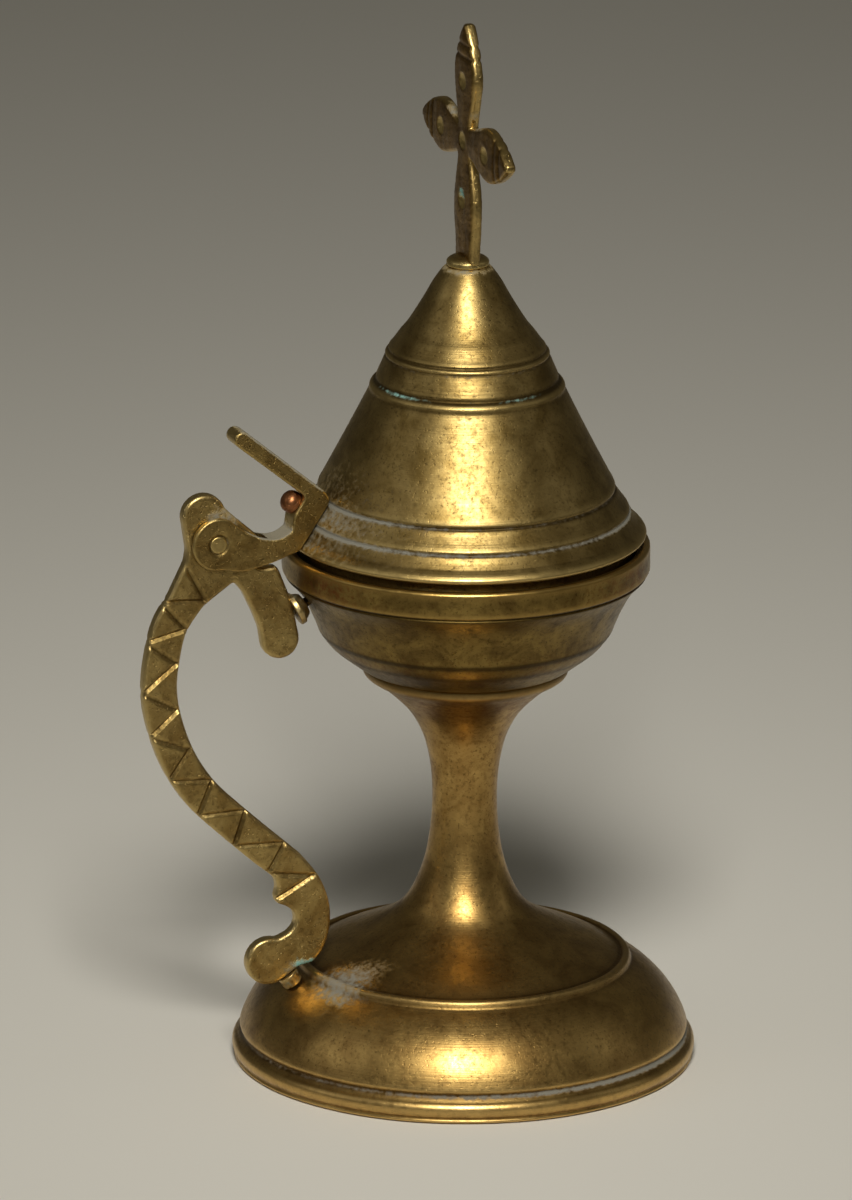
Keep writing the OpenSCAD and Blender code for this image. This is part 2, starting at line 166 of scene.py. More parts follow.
def skin(name, points, faces, marks, body, replaced):
    """Puts points in mm and faces into one mesh with its place in the points, stores marks as
    point attributes, and lets the piece ride on its body in place of CAD nodes."""
    mesh = bpy.data.meshes.new(name)
    mesh.from_pydata(np.asarray(points, float) * MM, [], faces)
    for mark, values in marks.items():
        attribute = mesh.attributes.new(mark, "FLOAT", "POINT")
        attribute.data.foreach_set("value", np.clip(values, 0, None).astype(np.float32).ravel())
    mesh.validate()
    mesh.shade_smooth()
    mesh.set_sharp_from_angle(angle=SHARP_ANGLE)
    piece = bpy.data.objects.new(name, mesh)
    bpy.context.scene.collection.objects.link(piece)
    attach(piece, body)
    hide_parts(*replaced)
    mesh.calc_loop_triangles()
    print(name, "triangles", len(mesh.loop_triangles))


def tidy_faces(quads):
    """Quads with two corners on one point become triangles, and those with fewer vanish."""
    q = np.asarray(quads)
    same = q == np.roll(q, -1, 1)
    whole = q[same.sum(1) == 0]
    part = q[same.sum(1) == 1]
    keep = ~(part == np.roll(part, -1, 1))
    return whole.tolist() + part[keep].reshape(-1, 3).tolist()


def turning(line, spread):
    """How sharply a closed line turns left at each point, in radians, gathered over spread mm:
    above 0 on outer edges, below 0 in creases."""
    a, b = line - np.roll(line, 1, 0), np.roll(line, -1, 0) - line
    angle = np.arctan2(a[:, 0] * b[:, 1] - a[:, 1] * b[:, 0], (a * b).sum(1))
    s = np.concatenate([[0], np.cumsum(np.linalg.norm(a[1:], axis=1))])
    return np.exp(-(((s[:, None] - s) / spread) ** 2) / 2) @ angle, s


ON_AXIS = 1e-6
WEAR_REACH, FULL_BEND = 0.45, 0.9
WAVE_MM = 34


def turned(name, outline, body, replaced, slot, paint=None, segments=168, place=None,
           rounding=0.3, out_of_round=0.0, seed=1, step=1.5):
    """A closed outline of (radius, height) spun round the axis: x = r cos t, y = r sin t, z = h,
    for t from 0 to a full turn. Points with r = 0 become one pole. out_of_round is how many mm
    the hand-finished wall wanders in and out."""
    reach = np.where(np.asarray(outline)[:, 0] < ON_AXIS, 0.0, rounding)
    line = fill_gaps(soften(outline, reach), step)
    on_axis = line[:, 0] < ON_AXIS
    line = line[~(on_axis & np.roll(on_axis, 1) & np.roll(on_axis, -1))]
    bend, along = turning(line, WEAR_REACH)
    t = np.arange(segments) / segments * 2 * np.pi
    r, h = line[:, :1], line[:, 1:]
    p = np.stack([r * np.cos(t), r * np.sin(t), h + 0 * t], -1)
    if out_of_round:
        p[..., :2] *= (1 + out_of_round * ripple(p, WAVE_MM, seed)[..., None]
                       / np.maximum(r, 8)[..., None])
    n, m = p.shape[:2]
    index = np.arange(n * m).reshape(n, m)
    pole = np.flatnonzero(line[:, 0] < ON_AXIS)
    index[pole] = index[pole][:, :1]
    up, on = np.roll(index, -1, 0), np.roll(index, -1, 1)
    quads = np.stack([index, on, np.roll(up, -1, 1), up], -1).reshape(-1, 4)
    marks = {"edge": np.clip(bend / FULL_BEND, 0, 1), "crease": np.clip(-bend / FULL_BEND, 0, 1),
             "along": along * MM}
    marks = {k: np.broadcast_to(v[:, None], (n, m)) for k, v in marks.items()}
    if paint:
        marks.update(paint(p, marks))
    if place:
        p = place(p)
    used, renumbered = np.unique(quads, return_inverse=True)
    marks = {k: np.asarray(v).reshape(-1)[used] for k, v in marks.items()}
    skin(name, p.reshape(-1, 3)[used], tidy_faces(renumbered.reshape(-1, 4)), marks, body,
         replaced)


# %% [markdown]
# ## Turned brass: foot, bowl and lid
# These were cast and then cut on a lathe, so each is an outline spun round the
# upright axis. A spun grid keeps every bead and crease as real geometry, which a
# bump map could not do along the silhouette. The outlines are lists of radius and
# height in millimetres, walked anticlockwise so that the faces point outwards.

# %% Outlines of the turned pieces
BELL_ROUND, BELL_LOWER, WALL = 22.3, 0.4, 2.2


def bell(angles, inset=0.0):
    """The foot's round shoulder: part of a circle that starts at the axis, so its middle is as
    far out as the circle's radius."""
    a = np.radians(angles)
    reach = BELL_ROUND - inset
    return np.stack([BELL_ROUND + reach * np.cos(a), reach * np.sin(a) - BELL_LOWER], 1)


stem = catmull([(26.6, 22.6), (19.8, 25.6), (14.4, 28.6), (11.3, 31.6), (9, 36), (7.5, 40.8),
                (6.6, 46.6), (6.3, 52), (6.5, 57), (7.2, 61.6), (8.5, 66), (11.1, 70.5),
                (15.6, 74.9), (18.8, 77)], 5)
foot_outline = np.vstack([
    [(43.8, 0), (44.7, 0.5)], arc((43.1, 2.6), 1.9, -50, 60, 10), [(43.45, 4.9), (43.1, 5.35)],
    [(43.35, 5.8)], bell(np.arange(17.5, 59.5, 2.6)), [(32.7, 19.4)],
    arc((31.5, 20), 0.95, 20, 150, 8), [(30.2, 20.7), (28.4, 21.7)], stem,
    [(19.6, 77.6), (19.9, 78.2), (19.9, 79.1), (19.5, 79.6)],
    [(0, 79.6), (0, 31), (5, 30.6), (9.5, 28.2), (14, 25.4), (19.5, 22.9), (30, 18.3)],
    bell(np.arange(59, 16, -6), WALL), [(41.1, 4.4), (41.6, 0)]])
bowl_side = catmull([(28.5, 86.9), (29.3, 89), (30.5, 91.7), (31.9, 94.3), (33.3, 96.2),
                     (35.1, 98)], 5)
bowl_outline = np.vstack([
    [(0, 79.6)], catmull([(20.6, 79.6), (22.8, 81.2), (26.2, 83.9), (28.2, 86.4)], 5), bowl_side,
    [(34.85, 98.35), (35.55, 98.8), (35.6, 99.6)], arc((34.8, 103.2), 0.8, 0, 90, 6),
    [(34.1, 104), (34, 103.2), (33.1, 103.2), (33.1, 98)],
    (bowl_side[:-6] - (WALL, 0))[::-1], [(24, 85.6), (20.6, 82.6), (18.4, 82.1), (0, 82.1)]])
lid_outline = np.vstack([
    [(32.4, 105.3), (34.1, 105.3), (34.7, 105.7), (34.8, 106.2), (34.2, 107), (33.1, 107.9),
     (32.3, 109), (31.8, 110), (31.3, 110.25), (31.5, 110.8), (31.1, 111.4), (30.3, 112.4),
     (29.5, 113.5), (29, 114.4), (28.55, 114.65), (28.8, 115.2), (28.6, 115.8), (28.1, 116.7)],
    catmull([(27.2, 118.4), (24.6, 123.4), (21.6, 129.3), (18.95, 134.7)], 4),
    [(18.9, 135.6), (18.5, 136.2), (17.65, 136.7), (17.6, 137.4), (16, 141.2), (15.7, 141.5),
     (16, 141.9), (15.7, 142.4), (15.2, 142.6), (15.3, 143.1), (14.6, 143.9)],
    catmull([(13.1, 146), (11.5, 148), (8.7, 152.5), (6.6, 156.2), (4.9, 158.6)], 4),
    [(4.3, 159.2), (0, 159.2), (0, 157.5), (3.2, 157.5), (7.1, 152), (9.9, 147.5), (13.2, 142.9),
     (16, 136.7), (26.4, 116), (27.2, 113.9), (29.5, 110.1), (30.7, 107.7), (31.2, 106.7),
     (31.2, 101.7), (32.4, 101.7)]])

# %% [markdown]
# Dust settles on ledges and round the hinge, and green corrosion starts in the creases, so each
# piece gets painted marks from its own position. Dark rings in the creases and under ledges are
# painted shade.

# %% Paint and make the turned pieces
def heading(points):
    """Direction round the axis in degrees: 0 towards +X, and the handle is at 180."""
    return np.degrees(np.arctan2(points[..., 1], points[..., 0]))


def turn_from(points, degrees):
    """Angle between a point's heading and the given one, from 0 to 180."""
    return np.abs((heading(points) - degrees + 180) % 360 - 180)


def paint_foot(p, marks):
    """Grey dust in the base crease and round the lower stud, one green speck, a warm tint up the
    stem, and painted shade as dark rings where the stem's flange meets the bowl, in the neck's
    crease and in the base crease."""
    z = p[..., 2]
    above_table = z > 0.2
    dust = 0.85 * band(z, 5.2, 0.36) * (0.25 + 0.75 * band(turn_from(p, -38), 0, 40))
    dust = dust + 0.45 * blob(p, (-30, -11, 19.6), (4.2, 5, 2.4))
    dust = dust + 0.25 * blob(p, (-25, -11, 22.5), (6, 3, 1.4))
    return {"dust": dust * above_table, "copper": bands(z, (0.16, 76, 4), (0.1, 66, 9)),
            "green": 0.3 * blob(p, (12, -40.5, 12), (0.9, 0.9, 0.7)),
            # The shade rings are painted shade where the stem meets the bowl, in the neck's crease
            # and in the base crease.
            "shade": bands(z, (0.8, 79, 1.2), (0.5, 21, 0.9), (0.4, 5.3, 0.5))}


def outside_of(p, heights, radii):
    """Whether a point lies further out than the middle of the wall, given by radii at heights."""
    return np.hypot(p[..., 0], p[..., 1]) > np.interp(p[..., 2], heights, radii)


BAND_FOOT, SOOT_TOP = 98, 103.1


def paint_bowl(p, marks):
    """Coppery heat tint on the rim band, soot in the bowl, and painted shade as dark rings under
    the rim and round the belly and as a darker body below the rim band.
    """
    z = p[..., 2]
    outside = outside_of(p, [79, 86, 98, 104], [15, 26.8, 33.6, 34.3])
    rim = outside * (z > BAND_FOOT)
    copper = rim * (0.04 + 0.18 * band(turn_from(p, -48), 0, 17)
                    + 0.2 * band(turn_from(p, -158), 0, 13))
    # Painted shade: dark rings under the rim and on the belly's downward faces, and the whole body
    # below the rim band a little darker.
    rings = bands(z, (0.75, 98.2, 0.5), (0.85, 86.6, 0.45), (0.5, 83.6, 0.4))
    return {"dust": 0.25 * blob(p, (-32, -4, 96), (3, 6, 5)) * outside,
            "copper": copper + outside * 0.15 * band(z, 85, 3.4),
            "soot": ~outside * np.clip((SOOT_TOP - z) / 4, 0, 1),
            "shade": outside * (rings + 0.3 * (z < BAND_FOOT))}


GREEN_CREASE, SOOT_START = 136.6, 104


def paint_lid(p, marks):
    """A thin broken green crust in the upper crease, grey dust in a haze on the side of the handle
    and as lines along the brim's ledges, and painted shade as dark rings in the creases."""
    z = p[..., 2]
    outside = outside_of(p, [101, 107, 116, 136, 150, 160], [32, 31.6, 27, 17, 9, 0])
    near = band(turn_from(p, 180), 0, 38) ** 2
    green = band(z, GREEN_CREASE, 0.22) * (0.06 + 0.34 * band(turn_from(p, -158), 0, 13)
                                           + 0.24 * band(turn_from(p, -76), 0, 10))
    dust = (band(z, 110.3, 0.3) * (0.3 + 0.5 * near + 0.5 * band(turn_from(p, -28), 0, 20))
            + band(z, 114.7, 0.28) * (0.16 + 0.6 * near)
            + near * bands(z, (0.24, 108, 2.0), (0.27, 112.8, 1.6), (0.17, 118, 4))
            + bands(z, (0.3, 158.9, 0.4), (0.12, 141.4, 0.3)))
    # Painted shade: dark rings in the lid's creases.
    shade = bands(z, (0.7, GREEN_CREASE, 0.4), (0.5, 114.6, 0.35), (0.5, 110.2, 0.35),
                  (0.35, 141.5, 0.35), (0.4, 142.7, 0.3))
    return {"green": green * outside, "dust": dust * outside, "shade": shade * outside,
            "soot": ~outside * np.clip((z - SOOT_START) / 3, 0, 1)}


turned("bell_foot", foot_outline, "burner", ["foot"], "foot", paint_foot, out_of_round=0.12,
       seed=3)
turned("charcoal_bowl", bowl_outline, "burner", ["bowl"], "bowl", paint_bowl, out_of_round=0.1,
       seed=5)
turned("cone_lid", lid_outline, "lid_assembly", ["lid"], "lid", paint_lid, out_of_round=0.12,
       seed=8)

# %% [markdown]
# ## Flat castings: handle, lid leaf and cross
# These are plates, so the shape is an outline with a thickness. The outline is filled
# with triangles, and each point of a face is lifted by a height worked out from its
# distance to the edge. That gives a rounded rim, cut grooves and dimples as true
# geometry, where a bevel modifier would leave long thin faces round the grooves.

# %% Distances in a flat outline
def edge_distance(points, loops):
    """Distance of each point to the nearest edge of the loops, counted above 0 inside them. A
    point is inside if a ray from it to the right crosses the edges an odd number of times."""
    a = np.vstack(loops)
    d = np.vstack([np.roll(loop, -1, 0) for loop in loops]) - a
    best, inside = np.full(len(points), 1e9), np.zeros(len(points), bool)
    for part in np.array_split(np.arange(len(points)), max(1, len(points) // 1500)):
        q = points[part][:, None]
        t = np.clip(((q - a) * d).sum(-1) / (d**2).sum(-1), 0, 1)[..., None]
        best[part] = np.sqrt(((q - a - t * d) ** 2).sum(-1)).min(1)
        spans = (a[:, 1] > q[..., 1]) != ((a + d)[:, 1] > q[..., 1])
        at = a[:, 0] + (q[..., 1] - a[:, 1]) / np.where(d[:, 1] == 0, 1e-12, d[:, 1]) * d[:, 0]
        inside[part] = (spans & (q[..., 0] < at)).sum(1) % 2 == 1
    return np.where(inside, best, -best)


def line_distance(points, line):
    """Distance of each point to an open line."""
    a, d = line[:-1], np.diff(line, axis=0)
    t = np.clip(((points[:, None] - a) * d).sum(-1) / (d**2).sum(-1), 0, 1)[..., None]
    return np.sqrt(((points[:, None] - a - t * d) ** 2).sum(-1)).min(1)


def left_normal(loop):
    """Unit direction to the left of a closed line at each point."""
    t = np.roll(loop, -1, 0) - np.roll(loop, 1, 0)
    t = t / np.linalg.norm(t, axis=1)[:, None]
    return np.stack([-t[:, 1], t[:, 0]], 1)


def anticlockwise(loop):
    """The loop, walked so that its inside is on the left."""
    n = np.roll(loop, -1, 0)
    return loop if (loop[:, 0] * n[:, 1] - n[:, 0] * loop[:, 1]).sum() > 0 else loop[::-1]


WELD_MM = 0.004


def welded(points, face_arrays):
    """Points in the same cell of a fine grid become one. Gives the points kept, and the faces in
    their new numbers, without faces that lost a corner."""
    used = np.unique(np.concatenate([f.ravel() for f in face_arrays]))
    cell = np.floor(points[used] / WELD_MM + 0.37).astype(np.int64)
    first, group = np.unique(cell, axis=0, return_index=True, return_inverse=True)[1:]
    number = np.full(len(points), -1)
    number[used] = group.ravel()
    faces = []
    for array in face_arrays:
        f = number[array]
        faces += f[(f != np.roll(f, -1, 1)).all(1)].tolist()
    return used[first], faces


# %% Fill an outline
EDGE_ROWS = (0.08, 0.3, 0.62, 1.0)
FINER = 0.75


def slot_root(loop, middle, radius, spacing):
    """The end of a slot, as an arc across the loop. Where they cross, the loop's nearest point
    moves onto the arc, so that the two share it."""
    r = np.linalg.norm(loop - middle, axis=1)
    i = np.flatnonzero((r < radius) != (np.roll(r, -1) < radius))
    j = (i + 1) % len(r)
    f = (radius - r[i]) / (r[j] - r[i])
    nearest = np.where(f < 0.5, i, j)
    loop[nearest] = loop[i] + f[:, None] * (loop[j] - loop[i])
    ends = loop[nearest] - middle
    angle = np.arctan2(ends[:, 1], ends[:, 0])
    low, high = np.degrees(np.sort(angle))
    steps = int(radius * math.radians(high - low) / spacing / FINER)
    root = arc(middle, radius, low, high, steps)
    root[0], root[-1] = middle + ends[np.argsort(angle)]
    return root


def loose_points(loops, lines, rounding, spacing):
    """Points that fill the loops: close rows along the edge, so that it can be rounded, and an
    even grid of triangles inside, with none crowding the lines."""
    rows = [loop + left_normal(loop) * f * rounding for loop in loops for f in EDGE_ROWS]
    reach = np.repeat([f * rounding for _ in loops for f in EDGE_ROWS], [len(r) for r in rows])
    rows = np.vstack(rows)
    rows = rows[edge_distance(rows, loops) > reach * 0.97]
    low, high = np.vstack(loops).min(0), np.vstack(loops).max(0)
    gx, gy = np.meshgrid(np.arange(low[0], high[0], spacing),
                         np.arange(low[1], high[1], spacing * 0.866))
    gx[1::2] += spacing / 2
    grid = np.stack([gx.ravel(), gy.ravel()], 1)
    grid = grid[edge_distance(grid, loops) > rounding + spacing * 0.45]
    free = np.vstack([rows, grid])
    for line in lines:
        free = free[line_distance(free, line) > spacing * 0.3]
    return free


def filled(loops, lines, rounding, spacing):
    """Fills closed loops with triangles whose edges follow the loops and the open lines. Gives
    the points, the triangles, and the numbers of each loop's points."""
    edges, start = [], 0
    for k, line in enumerate([*loops, *lines]):
        number = np.arange(len(line)) + start
        pairs = np.stack([number, np.roll(number, -1)], 1)
        edges.append(pairs if k < len(loops) else pairs[:-1])
        start += len(line)
    points = np.vstack([*loops, *lines, loose_points(loops, lines, rounding, spacing)])
    made = delaunay_2d_cdt([Vector(p) for p in points], np.vstack(edges).tolist(), [], 0, 1e-5)
    flat = np.array([tuple(v) for v in made[0]])
    tris = np.array([f for f in made[2] if len(f) == 3])
    pairs = np.array([(old, new) for new, olds in enumerate(made[3]) for old in olds])
    to_new = np.full(len(points), -1)
    to_new[pairs[:, 0]] = pairs[:, 1]
    tris = tris[edge_distance(flat[tris].mean(1), loops) > 0]
    a, b, c = flat[tris].transpose(1, 0, 2)
    clockwise = np.cross(b - a, c - a) < 0
    tris[clockwise] = tris[clockwise][:, ::-1]
    ends = np.cumsum([len(loop) for loop in loops])
    return flat, tris, np.split(to_new[:ends[-1]], ends[:-1])


# %% Plate with rounded edges
WALL_ROWS, SLOT_ROWS, TOUCH = 5, 3, 1e-6


def strip(index):
    """Quads between the neighbouring rows and columns of a grid of point numbers."""
    return np.stack([index[:-1, :-1], index[1:, :-1], index[1:, 1:], index[:-1, 1:]], -1)


def plate(name, outline, thickness, rounding, body, node, place, spacing, relief, paint,
          holes=(), creases=(), slot_cut=None):
    """A flat outline given thickness. At distance d from the edge the face drops by
    R - sqrt(R^2 - (R - d)^2), a quarter circle of radius R, and relief(points, side, d) lowers
    it further. slot_cut = (middle, radius, half gap) opens a slot from the edge inwards."""
    loops = [anticlockwise(fill_gaps(outline, spacing * FINER))]
    loops += [anticlockwise(h)[::-1] for h in holes]
    lines = list(creases)
    if slot_cut:
        middle, radius, gap = slot_cut
        root = slot_root(loops[0], middle, radius, spacing)
        lines = [root, *lines]
    flat, tris, loop_numbers = filled(loops, lines, rounding, spacing)
    d = np.maximum(edge_distance(flat, loops), 0)
    d[np.concatenate(loop_numbers)] = 0
    drop = rounding - np.sqrt(rounding**2 - (rounding - np.minimum(d, rounding)) ** 2)
    front, rear = (thickness / 2 - drop - relief(flat, s, d) for s in (1, -1))
    parts, depths = [], []

    def put(uv, height, depth):
        """Adds points at a height, with their distance to the edge. Gives the first's number."""
        first = sum(len(part) for part in parts)
        parts.append(np.column_stack([uv, height]))
        depths.append(np.broadcast_to(depth, len(uv)))
        return first

    faces = [tris + put(flat, front, d), tris[:, ::-1] + put(flat, -rear, d)]
    quads = []
    for loop, k in zip(loops, loop_numbers):
        top, bottom = front[k], -rear[k]
        if slot_cut:
            f = np.linspace(0, 1, SLOT_ROWS)[:, None]
            w = np.vstack([top + (gap - top) * f, -gap + (bottom + gap) * f])
        else:
            w = top + (bottom - top) * np.linspace(0, 1, WALL_ROWS)[:, None]
        index = np.arange(w.size).reshape(w.shape) + put(np.tile(loop, (len(w), 1)), w.ravel(), 0.0)
        wall = strip(np.column_stack([index, index[:, 0]]))
        keep = np.ones(wall.shape[:2], bool)
        if slot_cut:
            within = np.linalg.norm(loop - middle, axis=1) < radius + TOUCH
            keep[SLOT_ROWS - 1] = ~(within & np.roll(within, -1))
        quads.append(wall[keep])
    if slot_cut:
        within = tris[np.linalg.norm(flat[tris].mean(1) - middle, axis=1) < radius]
        faces += [within[:, ::-1] + put(flat, np.full(len(flat), gap), 1.0),
                  within + put(flat, np.full(len(flat), -gap), 1.0)]
        w = np.linspace(gap, -gap, WALL_ROWS)[:, None] + np.zeros(len(root))
        index = np.arange(w.size).reshape(w.shape) + put(np.tile(root, (len(w), 1)), w.ravel(), 1.0)
        quads.append(strip(index).reshape(-1, 4)[:, ::-1])
    solid, d = np.vstack(parts), np.concatenate(depths)
    marks = {"edge": np.clip(1 - d / (rounding * 1.15), 0, 1) ** 1.5}
    placed = place(solid)
    marks.update(paint(placed, solid, marks))
    kept, merged = welded(placed, [np.vstack(faces), np.vstack(quads)])
    skin(name, placed[kept], merged, {k: v[kept] for k, v in marks.items()}, body, [node])


def upright(solid):
    """Stands plate coordinates up facing the front: x stays, the plate's height is z."""
    return np.stack([solid[:, 0], -solid[:, 2], solid[:, 1]], 1)


def sideways(solid):
    """Stands plate coordinates up facing -X and +X: across is y, and the height is z."""
    return np.stack([solid[:, 2], solid[:, 0], solid[:, 1]], 1)


# %% [markdown]
# ### The handle
# One cast plate sweeps from the hinge down to a hooked foot on the bell, with a lug that
# hangs beside the bowl. A zigzag was engraved along the grip.

# %% Handle outline
PIN = np.array([-51.6, 108.9])
UPPER_STUD, UPPER_OUT = np.array([-32.5, 95.1]), np.array([-0.8824, -0.4706])
LOWER_STUD, LOWER_OUT = np.array([-35.09, 17.87]), np.array([-0.5736, 0.8192])
GRIP_WIDTH, HANDLE_THICK = 7.0, 2.9
grip = catmull([(-56.3, 99.4), (-60.6, 93.4), (-62.4, 86.6), (-62.95, 80), (-61.8, 73.3),
                (-58.9, 65.6), (-54.4, 58.7), (-47.9, 52.2), (-41, 45.9)], 6)
slope = np.gradient(grip, axis=0)
slope /= np.linalg.norm(slope, axis=1)[:, None]
outward = np.stack([slope[:, 1], -slope[:, 0]], 1)
flat_middle = LOWER_STUD + 2.8 * LOWER_OUT
flat_along = np.array([LOWER_OUT[1], -LOWER_OUT[0]])
handle_outline = np.vstack([
    [PIN + (-5.8, -1), PIN + (-6.2, -3.3)], (grip + outward * GRIP_WIDTH / 2)[3:],
    [(-41.6, 41.9), (-39.4, 40), (-38.9, 38.2), (-39.5, 36), (-39, 34.9), (-37.2, 34.2),
     (-35.6, 33), (-35.1, 31.6), (-35.3, 30.1), (-36.5, 28.7), (-38, 28)],
    arc(LOWER_STUD + (-5.4, 5.35), 4.7, 72, 286, 24),
    [flat_middle - 2.1 * flat_along, flat_middle + 2.6 * flat_along],
    catmull([(-31.6, 22.2), (-29.6, 24.4), (-28.3, 28), (-28, 32.2), (-28.9, 36.3), (-30.8, 40.2),
             (-34.3, 44.6)], 4),
    (grip - outward * GRIP_WIDTH / 2)[:0:-1],
    [(-48, 100.8), (-46.1, 98.6), (-43.9, 94), (-42.6, 90.7)],
    arc(UPPER_STUD + (-5.9, -6.9), 3.8, 188, 366, 16),
    [(-35.3, 92), (-36.3, 96.2), (-37.9, 100.2), (-38.7, 102.2)],
    [PIN + (12.3, -5.8), PIN + (9.3, -6)], arc(PIN, 9.4, -34, -6, 5),
    [PIN + (8, 1.2), PIN + (6.3, 2.7), PIN + (3.6, 5.1)],
    arc(PIN + (-2.4, 5.5), 4.4, 18, 196, 22)])
handle_outline = soften(handle_outline, 0.8, 5)

# %% [markdown]
# The zigzag is one line of strokes cut with a graver, so each stroke is a V that runs
# out over the bar's edge. Every second stroke bit deeper. The line and both banks are
# edges of the filling wherever they lie inside the bar, so the floor is crisp.

# %% Zigzag and handle relief
GROOVE_HALF, GROOVE_DEPTH = 0.6, 0.55
LIGHT_STROKE = 0.65
zigzag = np.array([(-57.6, 104.4), (-53.9, 97.6), (-63.0, 98.2), (-57.8, 92.3), (-66.1, 90.4),
                   (-59.7, 85.6), (-66.7, 80.1), (-59.5, 76.2), (-65.2, 71.2), (-57.1, 68.0),
                   (-61.3, 62.0), (-52.4, 61.4), (-55.3, 54.4), (-45.6, 54.6), (-48.0, 47.5),
                   (-37.5, 47.2), (-41.0, 41.2), (-31.6, 39.9), (-39.0, 35.9)])


def beside(line, gap):
    """The line shifted gap to its left, with mitred corners."""
    d = np.diff(line, axis=0)
    d /= np.linalg.norm(d, axis=1)[:, None]
    before, after = np.vstack([d[:1], d]), np.vstack([d, d[-1:]])
    m = np.stack([-(before + after)[:, 1], (before + after)[:, 0]], 1)
    m /= np.linalg.norm(m, axis=1)[:, None]
    scale = gap / np.maximum((m * np.stack([-before[:, 1], before[:, 0]], 1)).sum(1), 0.35)
    return line + m * scale[:, None]


def inside_runs(line, loop, margin):
    """Stretches of an open line that lie more than margin inside the loop."""
    inside = edge_distance(line, [loop]) > margin
    cuts = np.flatnonzero(np.diff(inside.astype(int))) + 1
    return [run for run, keep in zip(np.split(line, cuts), np.split(inside, cuts))
            if keep[0] and len(run) > 2]


groove_lines = []
for bank in (0, GROOVE_HALF, -GROOVE_HALF):
    whole = fill_gaps(beside(zigzag, bank) if bank else zigzag, 0.5, closed=False)
    groove_lines += inside_runs(whole, anticlockwise(handle_outline), 0.3)


def groove_share(points):
    """1 on the zigzag's line, falling to 0 at its banks, with every second stroke lighter."""
    share = np.zeros(len(points))
    for k in range(len(zigzag) - 1):
        deep = LIGHT_STROKE if k % 2 == 0 else 1.0
        near = 1 - line_distance(points, zigzag[k:k + 2]) / GROOVE_HALF
        share = np.maximum(share, deep * np.clip(near, 0, 1))
    return share


def handle_relief(points, side_of, d):
    """V-grooves on both faces and a slight unevenness from the mould."""
    uneven = 0.05 * ripple(points, 7, 11 + side_of) + 0.03 * ripple(points, 2.4, 21 + side_of)
    return GROOVE_DEPTH * groove_share(points) + uneven * np.clip(d / 0.5, 0, 1) + 0.04


def paint_handle(p, solid, marks):
    """Painted shade on the groove floors and between the leaf's cheeks, worn bright banks, dust on
    the nose and green at the lower stud.
    """
    flat = solid[:, :2]
    groove = groove_share(flat)
    face = np.abs(solid[:, 2]) > HANDLE_THICK / 2 - 0.6
    green = (0.75 * blob(p, (-32.2, -1.4, 21.6), (1.0, 2, 0.9))
             + 0.5 * blob(p, (-34.6, -1.4, 22.3), (0.8, 2, 0.7)))
    dust = (0.5 * blob(p, (-50.6, 0, 113.4), (2.6, 3, 2.2))
            + 0.5 * blob(p, (-34, 0, 21.5), (2.4, 3, 1.2)))
    # Painted shade: the groove floors, and the stretch held between the leaf's cheeks.
    shade = 0.55 * (groove > 0.35) * face + 0.25 * blob(p, (-48, 0, 104), (5, 4, 4))
    bank = np.clip(1 - np.abs(groove - 0.12) / 0.12, 0, 1) * face
    return {"green": green, "dust": dust, "shade": shade,
            "edge": np.maximum(marks["edge"], 0.55 * bank)}


PIN_R = 1.7
plate("cast_handle", handle_outline, HANDLE_THICK, 0.75, "burner", "handle", upright, 0.45,
      handle_relief, paint_handle, holes=[arc(PIN, PIN_R + 0.08, 0, 360, 40)[:-1]],
      creases=groove_lines)

# %% [markdown]
# ### The lid leaf
# The leaf is riveted to the lid. Its two cheeks hold the handle between them on the
# pin, and its long lever is where a thumb lifts the lid.

# %% Lid leaf
LEAF_THICK, SLOT_HALF, SLOT_ROOT = 5.4, 1.7, 10.3
LEVER_LONG, LEVER_THICK, PAD_THICK = 21.3, 3.2, 5.0
pad_low, pad_high = np.array([-34.86, 106.2]), np.array([-28.86, 115.3])
pad_t = (pad_high - pad_low) / np.linalg.norm(pad_high - pad_low)
pad_n = np.array([-pad_t[1], pad_t[0]])
corner = pad_high + (-0.5, 1.7)
lever = np.array([-0.77, 0.64]) / np.hypot(0.77, 0.64)
lever_out = np.array([-lever[1], lever[0]])
lever_tip = corner + LEVER_LONG * lever
seat = pad_high - 3.8 * pad_t + PAD_THICK * pad_n
lever_angle = math.degrees(math.atan2(lever[1], lever[0]))
leaf_outline = np.vstack([
    arc(PIN, 5.2, 62, 278, 26), PIN + [(4.6, -5.9), (8.1, -5.4), (12, -4.4), (14.6, -3.4)],
    [pad_low + (-0.5, -0.3), pad_low, pad_high, corner],
    arc(lever_tip + LEVER_THICK / 2 * lever_out, LEVER_THICK / 2, lever_angle - 90,
        lever_angle + 90, 10),
    [seat + 2.3 * pad_t, seat - 2.0 * pad_t],
    PIN + catmull([(15, 1.4), (13.2, 0.3), (11, 0), (8.3, 0.7), (5.8, 2), (3.8, 3.4)], 4)])
leaf_outline = soften(leaf_outline, 0.9, 5)


def leaf_relief(points, side_of, d):
    """Cast unevenness, pits beside the pin where the casting was left rough, and the thin ring
    where the pin's end meets the cheek."""
    r = np.linalg.norm(points - PIN, axis=1)
    pits = blob(points, PIN + (4.2, -0.8), (2.4, 2.8)) ** 2
    rough = 0.16 * pits * np.clip(ripple(points, 1.1, 37) - 0.1, 0, 1)
    uneven = 0.05 * ripple(points, 5, 31 + side_of) + rough + 0.04
    return uneven * np.clip(d / 0.5, 0, 1) + 0.2 * band(r, PIN_RINGS[0], 0.13)


